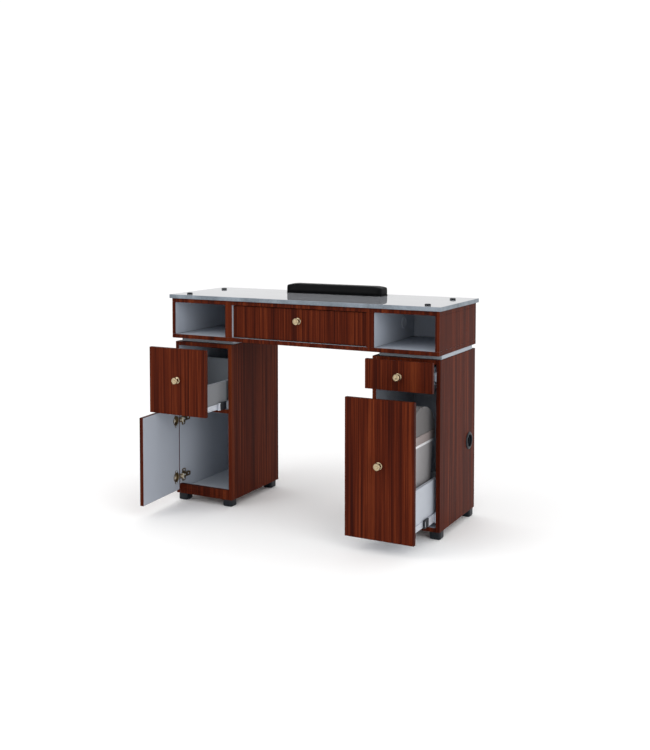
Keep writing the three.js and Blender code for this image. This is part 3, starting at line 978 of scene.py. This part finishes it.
def makeBallSlides(drawer, panelInside, panelOutside):
    # Three members on each side: on the box, in the middle and on the panel
    boxLow, boxHigh = boxOf(drawer + "_drawer_box")
    for name in ("near", "far"):
        node = f"{drawer}_drawer_slide_{name}"
        low, high = boxOf(node)
        away = right if low.x > (boxLow.x + boxHigh.x) / 2 else left
        middle = (low.z + high.z) / 2
        label = f"{drawer}Slide{name.title()}"

        # Middle member
        piece = channel(label + "Middle", low, high, away)
        fitOut(piece, drawer + "_drawer_slides", finishes["zinc"], "slide_steel", node)
        makeStop(label + "Stop", low, high, away, drawer)

        # Member on the box
        play = slideLook["play"]
        frontEnd, rearEnd = slideLook["boxEnds"]
        inner, outer = (boxHigh.x, low.x) if away.x > 0 else (high.x, boxLow.x)
        bottom = boxLow.z + slideLook["memberAbove"]
        memberLow = (inner + play, boxLow.y + frontEnd, bottom)
        memberHigh = (outer - play, boxHigh.y - rearEnd, bottom + slideLook["memberHeight"])
        piece = channel(label + "BoxMember", memberLow, memberHigh, away)
        fitOut(piece, drawer + "_drawer", finishes["zinc"], "slide_steel")
        face = (memberHigh[0] if away.x > 0 else memberLow[0]) - away.x * slideLook["recess"]
        firstRow = memberLow[1] + slideLook["screwStart"]
        rows = [firstRow + i * slideLook["screwEvery"] for i in range(slideLook["screwCount"])]
        height = (memberLow[2] + memberHigh[2]) / 2
        places = [(face, row, height) for row in rows]
        screws = addScrews(label + "BoxScrews", places, away, slideLook["screwSize"])
        fitOut(screws, drawer + "_drawer", finishes["zinc"], "slide_steel")

        # Member on the panel
        panel = panelOutside if away.x > 0 else panelInside
        gap = away.x * slideLook["panelGap"]
        edge = panel - gap
        side = (high.x if away.x > 0 else low.x) + gap
        half = slideLook["panelHeight"] / 2
        firstRow, lastRow = slideLook["panelRows"]
        panelLow = (min(edge, side), firstRow, middle - half)
        panelHigh = (max(edge, side), lastRow, middle + half)
        piece = channel(label + "PanelMember", panelLow, panelHigh, -away)
        fitOut(piece, "carcass", finishes["zinc"], "slide_steel")


rollerLook = {
    "half": 16,
    "gap": 0.1,
    "boxDepth": 5,
    "boxEnds": (4, 12),
    "boxNarrower": 4,
    "panelDepth": 6.6,
    "panelRows": (-44, 256),
}


def makeRollerSlides(drawer, panelLow, panelHigh):
    # Two members on each side, one on the box and one on the panel
    boxLow, boxHigh = boxOf(drawer + "_drawer_box")
    middle = (boxLow.z + boxHigh.z) / 2
    half = rollerLook["half"]
    gap = rollerLook["gap"]
    frontEnd, rearEnd = rollerLook["boxEnds"]
    firstRow, lastRow = rollerLook["panelRows"]
    for away, boxFace, panelFace in ((left, boxLow.x, panelLow), (right, boxHigh.x, panelHigh)):
        label = f"{drawer}Slide{'Far' if away.x > 0 else 'Near'}"
        first = boxFace + away.x * gap
        second = boxFace + away.x * rollerLook["boxDepth"]
        boxHalf = half - rollerLook["boxNarrower"]
        low = (min(first, second), boxLow.y + frontEnd, middle - boxHalf)
        high = (max(first, second), boxHigh.y - rearEnd, middle + boxHalf)
        piece = channel(label + "BoxMember", low, high, away)
        fitOut(piece, drawer + "_drawer", finishes["zinc"], "slide_steel")
        first = panelFace - away.x * gap
        second = panelFace - away.x * rollerLook["panelDepth"]
        low = (min(first, second), firstRow, middle - half)
        high = (max(first, second), lastRow, middle + half)
        piece = channel(label + "PanelMember", low, high, -away)
        fitOut(piece, "carcass", finishes["zinc"], "slide_steel")


# The inner faces of the pedestals' sides and of the dividers
pedestalFaces = (301.8, 522.1)
dividerFace = 272.2
makeBallSlides("left", -pedestalFaces[1], -pedestalFaces[0])
makeBallSlides("big", *pedestalFaces)
makeRollerSlides("small", *pedestalFaces)
makeRollerSlides("centre", -dividerFace, dividerFace)
print("slides made")


# Door hinges: cup, wing and boss on the door; fork, knuckle, arm and plate on the pedestal's side
hingeLook = {
    "cupPlace": (-512, -55.1),
    "cup": [
        (16.8, -11.2),
        (17.4, -10.6),
        (17.4, 0.1),
        (18.6, 0.2),
        (18.8, 1),
        (18.2, 1.4),
        (15.8, 1.4),
        (15.4, 0.8),
        (15.2, -7.6),
        (14.2, -8.6),
        (2, -8.7),
    ],
    "cupHole": (15.8, 8),
    "thinEase": 0.4,
    "wing": ((-520, -55, -26), (-504, -53.9, 26)),
    "wingCorner": 6,
    "wingScrews": 21.5,
    "pin": (1.5, 18),
    "pinPlace": (-503.5, -56.4),
    "boss": ((-508, -63.4, -4.2), (-499, -52.8, 4.2)),
    "bossEase": 1.4,
    "fork": ((-518, -62.6, 5), (-509, -42, 8)),
    "forkCorner": 2.4,
    "knuckle": ((-520, -51.6, -9), (-507.4, -43, 9)),
    "knuckleEase": 1.6,
    "plate": ((-522, -38, -24), (-520.4, -16, 24)),
    "plateCorner": 5,
    "plateScrews": 17,
    "arm": ((-521.8, -45.9, -8), (-513.1, 5.8, 8)),
    "armCorner": 3,
    "armEase": 0.6,
    "armRim": 2.2,
    "armDish": 3,
    "armScrews": (-27, -4),
}


def makeHinge(label):
    low, high = boxOf(label + "_hinge_arm")
    height = (low.z + high.z) / 2
    x, y = hingeLook["cupPlace"]
    cup = stand(turned(label + "HingeCup", hingeLook["cup"], 40), (x, y, height), toClient)
    smooth(cup)
    thin = hingeLook["thinEase"]
    corner = hingeLook["wingCorner"]
    wing = softBlock(label + "HingeWing", *hingeLook["wing"], height, corner, thin, toClient)
    cutAway(wing, rod("cupTool", *hingeLook["cupHole"], (x, y, height), toClient, 40))
    boss = softBlock(label + "HingeBoss", *hingeLook["boss"], height, ease=hingeLook["bossEase"])
    smoothFlat(wing)
    smoothFlat(boss)
    pin = rod(label + "HingePin", *hingeLook["pin"], (*hingeLook["pinPlace"], height), up)
    screws = [(x, hingeLook["wing"][1][1], height + side * hingeLook["wingScrews"]) for side in (-1, 1)]
    wingScrews = addScrews(label + "HingeWingScrews", screws, toClient)
    for piece in (cup, wing, boss, pin, wingScrews):
        swingOpen(piece)
    fitOut(cup, "door", finishes["bronze"], "hinge_brass", label + "_hinge_cup")
    fitOut(wing, "door", finishes["bronze"], "hinge_brass")
    fitOut(boss, "door", finishes["boss"], "hinge_brass")
    fitOut(pin, "door", finishes["zinc"], "hinge_brass")
    fitOut(wingScrews, "door", finishes["zinc"], "hinge_brass")

    corner = hingeLook["plateCorner"]
    plate = softBlock(label + "HingePlate", *hingeLook["plate"], height, corner, thin, right)
    smoothFlat(plate)
    fitOut(plate, "carcass", finishes["bronze"], "hinge_brass")
    corner = hingeLook["armCorner"]
    ease = hingeLook["armEase"]
    arm = softBlock(label + "HingeArm", *hingeLook["arm"], height, corner, ease, right)
    startEdit(arm)
    pickFaces(arm, lambda place, normal: normal.x > 0.9)
    bpy.ops.mesh.inset(thickness=hingeLook["armRim"] * mm)
    push = left * (hingeLook["armDish"] * mm)
    bpy.ops.mesh.extrude_region_move(TRANSFORM_OT_translate={"value": push})
    endEdit()
    smoothFlat(arm)
    fitOut(arm, "carcass", finishes["bronze"], "hinge_brass", label + "_hinge_arm")
    low, high = [Vector(place) for place in hingeLook["fork"]]
    flipped = (Vector((low.x, low.y, -high.z)), Vector((high.x, high.y, -low.z)))
    for name, corners in (("Upper", (low, high)), ("Lower", flipped)):
        corner = hingeLook["forkCorner"]
        fork = softBlock(f"{label}HingeFork{name}", *corners, height, corner, thin, up)
        smoothFlat(fork)
        fitOut(fork, "carcass", finishes["bronze"], "hinge_brass")
    ease = hingeLook["knuckleEase"]
    knuckle = softBlock(label + "HingeKnuckle", *hingeLook["knuckle"], height, ease=ease)
    smoothFlat(knuckle)
    fitOut(knuckle, "carcass", finishes["boss"], "hinge_brass")
    face = hingeLook["plate"][1][0]
    middle = (hingeLook["plate"][0][1] + hingeLook["plate"][1][1]) / 2
    places = [(face, middle, height + side * hingeLook["plateScrews"]) for side in (-1, 1)]
    screws = addScrews(label + "HingePlateScrews", places, right)
    fitOut(screws, "carcass", finishes["zinc"], "hinge_brass")
    floor = hingeLook["arm"][1][0] - hingeLook["armDish"]
    places = [(floor, y, height) for y in hingeLook["armScrews"]]
    screws = addScrews(label + "HingeArmScrews", places, right)
    fitOut(screws, "carcass", finishes["zinc"], "hinge_brass")


makeHinge("upper")
makeHinge("lower")
print("hinges made")


# Waste bin
binLook = {"taper": 0.88, "corner": 22, "wall": 2.4, "rim": 8, "step": 1.6}
lidLook = {
    "collar": 28,
    "collarCorner": 8,
    "collarLedge": 6,
    "wall": 2.2,
    "inset": 2,
    "ease": 0.5,
    "cheekRim": 5,
    "cheekDish": 1,
    "window": 62.6,
    "windowMargin": 5,
    "windowRise": 40,
    "flapHalf": 60,
    "flapPlay": 0.4,
    "flapEase": 0.6,
    "flapNarrower": 4,
    "pin": 2.5,
    "pinPlay": 0.5,
    "pinDrop": 4,
    "over": 10,
}


def makeBin():
    low, high = boxOf("bin_body")
    middle = (low + high) / 2
    size = high - low

    def level(height, inset):
        share = binLook["taper"] + (1 - binLook["taper"]) * height / size.z
        return (size.x * share - 2 * inset, size.y * share - 2 * inset, height)

    wall = binLook["wall"]
    rim = size.z - binLook["rim"]
    steps = [level(0, 5), level(1.6, 2), level(5, 0.3), level(rim - 1, binLook["step"])]
    steps += [level(rim, 0.3), level(size.z - 1, 0), level(size.z, 0.8), level(size.z - 0.2, wall)]
    steps += [level(size.z - 2, wall + 0.8), level(5, wall), level(wall, wall + 4)]
    body = roundedRise("binBody", binLook["corner"], steps)
    stand(body, (middle.x, middle.y, low.z))
    smooth(body)
    fitOut(body, "big_drawer", finishes["bin"], "bin_plastic", "bin_body")


def arch(name, half, top, width, middle, base):
    # Half an ellipse across X, open underneath
    pickNothing()
    bpy.ops.mesh.primitive_cylinder_add(vertices=96, radius=1, depth=1, rotation=(0, math.pi / 2, 0))
    piece = bpy.context.object
    piece.name = name
    settle(piece)
    piece.scale = (width * mm, half * mm, top * mm)
    piece.location = (middle.x * mm, middle.y * mm, base * mm)
    settle(piece)
    startEdit(piece)
    bpy.ops.mesh.select_all(action="SELECT")
    bpy.ops.mesh.bisect(plane_co=(0, 0, base * mm), plane_no=up, clear_inner=True)
    endEdit()
    return piece


def makeLid():
    low, high = boxOf("bin_lid")
    middle = (low + high) / 2
    size = high - low
    base = low.z + lidLook["collar"]
    wall = lidLook["wall"]
    inset = lidLook["inset"]

    def level(height, inset):
        return (size.x - 2 * inset, size.y - 2 * inset, height)

    top = lidLook["collar"]
    ledge = lidLook["collarLedge"]
    steps = [level(0, 0.4), level(0.8, 0), level(top - 1, 0), level(top, 1)]
    steps += [level(top, ledge), level(0, ledge)]
    collar = roundedRise("binCollar", lidLook["collarCorner"], steps, ring=True)
    stand(collar, (middle.x, middle.y, low.z))
    smooth(collar)
    fitOut(collar, "big_drawer", finishes["collar"], "bin_plastic", "bin_lid")

    half = size.y / 2 - inset
    top = high.z - base
    lid = arch("binLid", half, top, size.x - 2 * inset, middle, base)
    startEdit(lid)
    pickFaces(lid, lambda place, normal: abs(normal.x) > 0.9)
    rim, dish = lidLook["cheekRim"] * mm, lidLook["cheekDish"] * mm
    bpy.ops.mesh.inset(thickness=rim, depth=-dish, use_boundary=False)
    endEdit()
    applyModifier(lid, "SOLIDIFY", thickness=wall * mm, offset=-1)
    over = lidLook["over"]
    across = size.x / 2 - inset - lidLook["windowMargin"]
    along = lidLook["window"]
    windowLow = (middle.x - across, middle.y - along, base + lidLook["windowRise"])
    windowHigh = (middle.x + across, middle.y + along, high.z + over)
    cutAway(lid, block("windowTool", windowLow, windowHigh))
    pinPlace = (middle.x, middle.y, high.z - lidLook["pinDrop"])
    cutAway(lid, rod("pinTool", lidLook["pin"] + lidLook["pinPlay"], size.x + over, pinPlace, right))
    softEdges(lid, lidLook["ease"])
    smooth(lid)
    fitOut(lid, "big_drawer", finishes["binLid"], "bin_plastic", "bin_lid")

    play = lidLook["flapPlay"]
    flap = arch("binFlap", half - play, top - play, 2 * across - lidLook["flapNarrower"], middle, base)
    startEdit(flap)
    pickFaces(flap, lambda place, normal: abs(normal.x) > 0.9)
    bpy.ops.mesh.delete(type="FACE")
    for side in (-1, 1):
        bpy.ops.mesh.select_all(action="SELECT")
        edge = (0, (middle.y + side * lidLook["flapHalf"]) * mm, 0)
        bpy.ops.mesh.bisect(plane_co=edge, plane_no=(0, side, 0), clear_outer=True)
    endEdit()
    applyModifier(flap, "SOLIDIFY", thickness=wall * mm, offset=-1)
    softEdges(flap, lidLook["flapEase"])
    pins = rod("flapPins", lidLook["pin"], size.x - 2 * inset - 1, pinPlace, right)
    flap = joined("binFlap", [flap, pins])
    smooth(flap)
    fitOut(flap, "bin_flap", finishes["binLid"], "bin_plastic", "bin_flap")


makeBin()
makeLid()
bpy.data.objects.remove(screwModel)
print("bin made")


# Floor, light and camera
stageLook = {
    "floorSize": 400,
    "world": 1.05,
    "keyLight": {"place": (-2.4, -3.4, 2.8), "aim": (0, 0, 0.5), "size": 2.4, "power": 40},
    "fillLight": {"place": (3.6, -2.2, 1.6), "aim": (0.2, 0, 0.4), "size": 2.6, "power": 44},
}


def addLight(name, place, aim, size, power):
    light = bpy.data.lights.new(name, "AREA")
    light.size = size
    light.energy = power
    lamp = bpy.data.objects.new(name, light)
    lamp.location = place
    lamp.rotation_euler = (Vector(aim) - Vector(place)).to_track_quat("-Z", "Y").to_euler()
    bpy.context.scene.collection.objects.link(lamp)


def floorPaint(name):
    finish = Finish(name, Specular_IOR_Level=0.2)
    cloud = finish.noise((2, 2, 2), detail=2)
    finish.feed("Base Color", finish.mixed(cloud, paint(252, 252, 252), paint(255, 255, 255)))
    finish.feed("Roughness", 0.75 + cloud * 0.1)
    return finish.material


def makeStage():
    pickNothing()
    bpy.ops.mesh.primitive_plane_add(size=stageLook["floorSize"])
    floor = bpy.context.object
    floor.name = "studioFloor"
    floor.data.materials.append(floorPaint("floorPaint"))
    world = bpy.data.worlds.new("studio")
    world.use_nodes = True
    world.node_tree.nodes["Background"].inputs["Color"].default_value = (1, 1, 1, 1)
    world.node_tree.nodes["Background"].inputs["Strength"].default_value = stageLook["world"]
    bpy.context.scene.world = world
    bpy.context.scene.view_settings.view_transform = "Standard"
    for name in ("keyLight", "fillLight"):
        addLight(name, **stageLook[name])


cameraLook = {
    "place": (1.7772, -3.2574, 1.1283),
    "tilt": 87,
    "turn": 27.571,
    "lens": 49.648,
    "shift": -0.1548,
}


def makeCamera():
    data = bpy.data.cameras.new("studioCamera")
    data.sensor_width = 36
    data.lens = cameraLook["lens"]
    data.shift_y = cameraLook["shift"]
    camera = bpy.data.objects.new("studioCamera", data)
    camera.location = cameraLook["place"]
    camera.rotation_euler = (math.radians(cameraLook["tilt"]), 0, math.radians(cameraLook["turn"]))
    bpy.context.scene.collection.objects.link(camera)
    bpy.context.scene.camera = camera


makeStage()
makeCamera()
print("stage and camera set")
